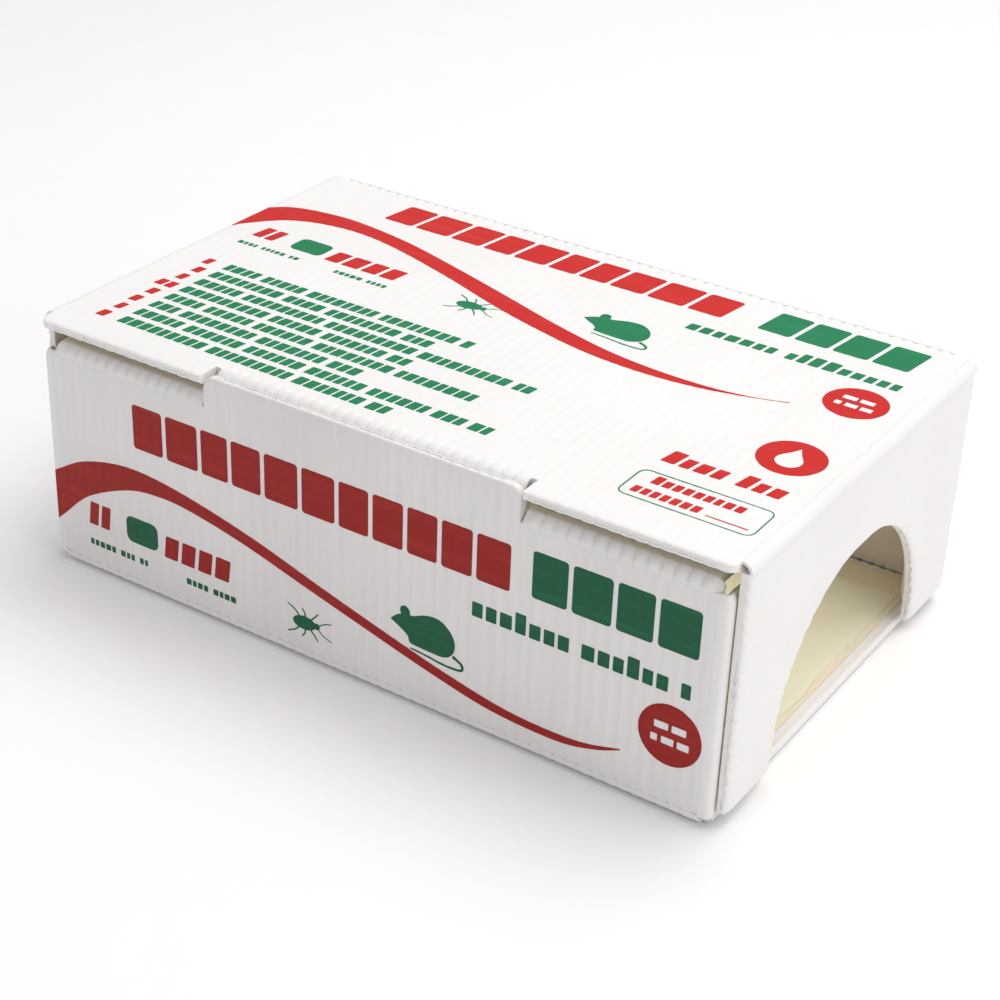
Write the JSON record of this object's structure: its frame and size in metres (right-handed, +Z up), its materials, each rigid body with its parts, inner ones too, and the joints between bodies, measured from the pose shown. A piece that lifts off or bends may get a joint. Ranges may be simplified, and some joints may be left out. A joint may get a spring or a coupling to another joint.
{
  "type": "bait station",
  "caption": "Folding glue station of twin-wall plastic sheet for mice and insects, with hinged lid, arched end entries and a glue board.",
  "frame": {"origin": "middle of the underside", "axes": "+X along the front towards the right end wall, -Y towards the front wall with the stand-up tab, +Z up"},
  "size_m": [0.2412, 0.15, 0.083],
  "materials": {
    "white_sheet": "white twin-wall polypropylene, satin, faint flutes",
    "card": "cream coated card",
    "glue": "cream pressure-sensitive glue, wet gloss"
  },
  "bodies": {
    "base": {"base_panel": "white_sheet", "base_front_fold": "white_sheet", "base_back_fold": "white_sheet"},
    "front": {"front_wall": "white_sheet", "front_lip_fold_left": "white_sheet", "front_lip_fold_right": "white_sheet", "front_dust_fold_left": "white_sheet", "front_dust_fold_right": "white_sheet"},
    "front_lip_left": {"front_lip_left": "white_sheet"},
    "front_lip_right": {"front_lip_right": "white_sheet"},
    "front_dust_flap_left": {"front_dust_flap_left": "white_sheet"},
    "front_dust_flap_right": {"front_dust_flap_right": "white_sheet"},
    "back": {"back_wall": "white_sheet", "back_dust_fold_left": "white_sheet", "back_dust_fold_right": "white_sheet", "lid_back_fold": "white_sheet"},
    "back_dust_flap_left": {"back_dust_flap_left": "white_sheet"},
    "back_dust_flap_right": {"back_dust_flap_right": "white_sheet"},
    "lid": {"lid_panel": "white_sheet", "tuck_fold": "white_sheet", "end_fold_left": "white_sheet", "end_fold_right": "white_sheet"},
    "tuck_tab": {"tuck_tab": "white_sheet"},
    "end_wall_left": {"end_wall_left": "white_sheet"},
    "end_wall_right": {"end_wall_right": "white_sheet"},
    "glue_board": {"glue_card": "card", "glue_layer": "glue"}
  },
  "joints": [
    {"name": "front_wall_fold", "type": "hinge", "parent": "base", "child": "front", "pos_m": [0, -0.07429, 0.00071], "axis": [-1, 0, 0], "range_deg": [-90, 0], "deforming": ["base_front_fold"]},
    {"name": "back_wall_fold", "type": "hinge", "parent": "base", "child": "back", "pos_m": [0, 0.07429, 0.00071], "axis": [1, 0, 0], "range_deg": [-90, 0], "deforming": ["base_back_fold"]},
    {"name": "lid_hinge", "type": "hinge", "parent": "back", "child": "lid", "pos_m": [0, 0.07429, 0.08229], "axis": [-1, 0, 0], "range_deg": [0, 110], "deforming": ["lid_back_fold"]},
    {"name": "end_wall_left_hinge", "type": "hinge", "parent": "lid", "child": "end_wall_left", "pos_m": [-0.11989, 0, 0.08229], "axis": [0, 1, 0], "range_deg": [0, 90], "deforming": ["end_fold_left"]},
    {"name": "end_wall_right_hinge", "type": "hinge", "parent": "lid", "child": "end_wall_right", "pos_m": [0.11989, 0, 0.08229], "axis": [0, -1, 0], "range_deg": [0, 90], "deforming": ["end_fold_right"]},
    {"name": "tuck_tab_hinge", "type": "hinge", "parent": "lid", "child": "tuck_tab", "pos_m": [0, -0.068, 0.0793], "axis": [1, 0, 0], "range_deg": [0, 82], "deforming": ["tuck_fold"]},
    {"name": "front_dust_flap_left_hinge", "type": "hinge", "parent": "front", "child": "front_dust_flap_left", "pos_m": [-0.1137, -0.0713, 0.04], "axis": [0, 0, -1], "range_deg": [0, 80], "deforming": ["front_dust_fold_left"]},
    {"name": "front_dust_flap_right_hinge", "type": "hinge", "parent": "front", "child": "front_dust_flap_right", "pos_m": [0.1137, -0.0713, 0.04], "axis": [0, 0, 1], "range_deg": [0, 80], "deforming": ["front_dust_fold_right"]},
    {"name": "back_dust_flap_left_hinge", "type": "hinge", "parent": "back", "child": "back_dust_flap_left", "pos_m": [-0.1137, 0.0713, 0.04], "axis": [0, 0, 1], "range_deg": [0, 80], "deforming": ["back_dust_fold_left"]},
    {"name": "back_dust_flap_right_hinge", "type": "hinge", "parent": "back", "child": "back_dust_flap_right", "pos_m": [0.1137, 0.0713, 0.04], "axis": [0, 0, -1], "range_deg": [0, 80], "deforming": ["back_dust_fold_right"]},
    {"name": "front_lip_left_hinge", "type": "hinge", "parent": "front", "child": "front_lip_left", "pos_m": [-0.08, -0.0713, 0.0731], "axis": [1, 0, 0], "range_deg": [-85, 0], "deforming": ["front_lip_fold_left"]},
    {"name": "front_lip_right_hinge", "type": "hinge", "parent": "front", "child": "front_lip_right", "pos_m": [0.08, -0.0713, 0.0731], "axis": [1, 0, 0], "range_deg": [-85, 0], "deforming": ["front_lip_fold_right"]},
    {"name": "glue_board_lift", "type": "slide", "parent": "base", "child": "glue_board", "axis": [0, 0, -1], "range_m": [-0.06, 0]}
  ]
}
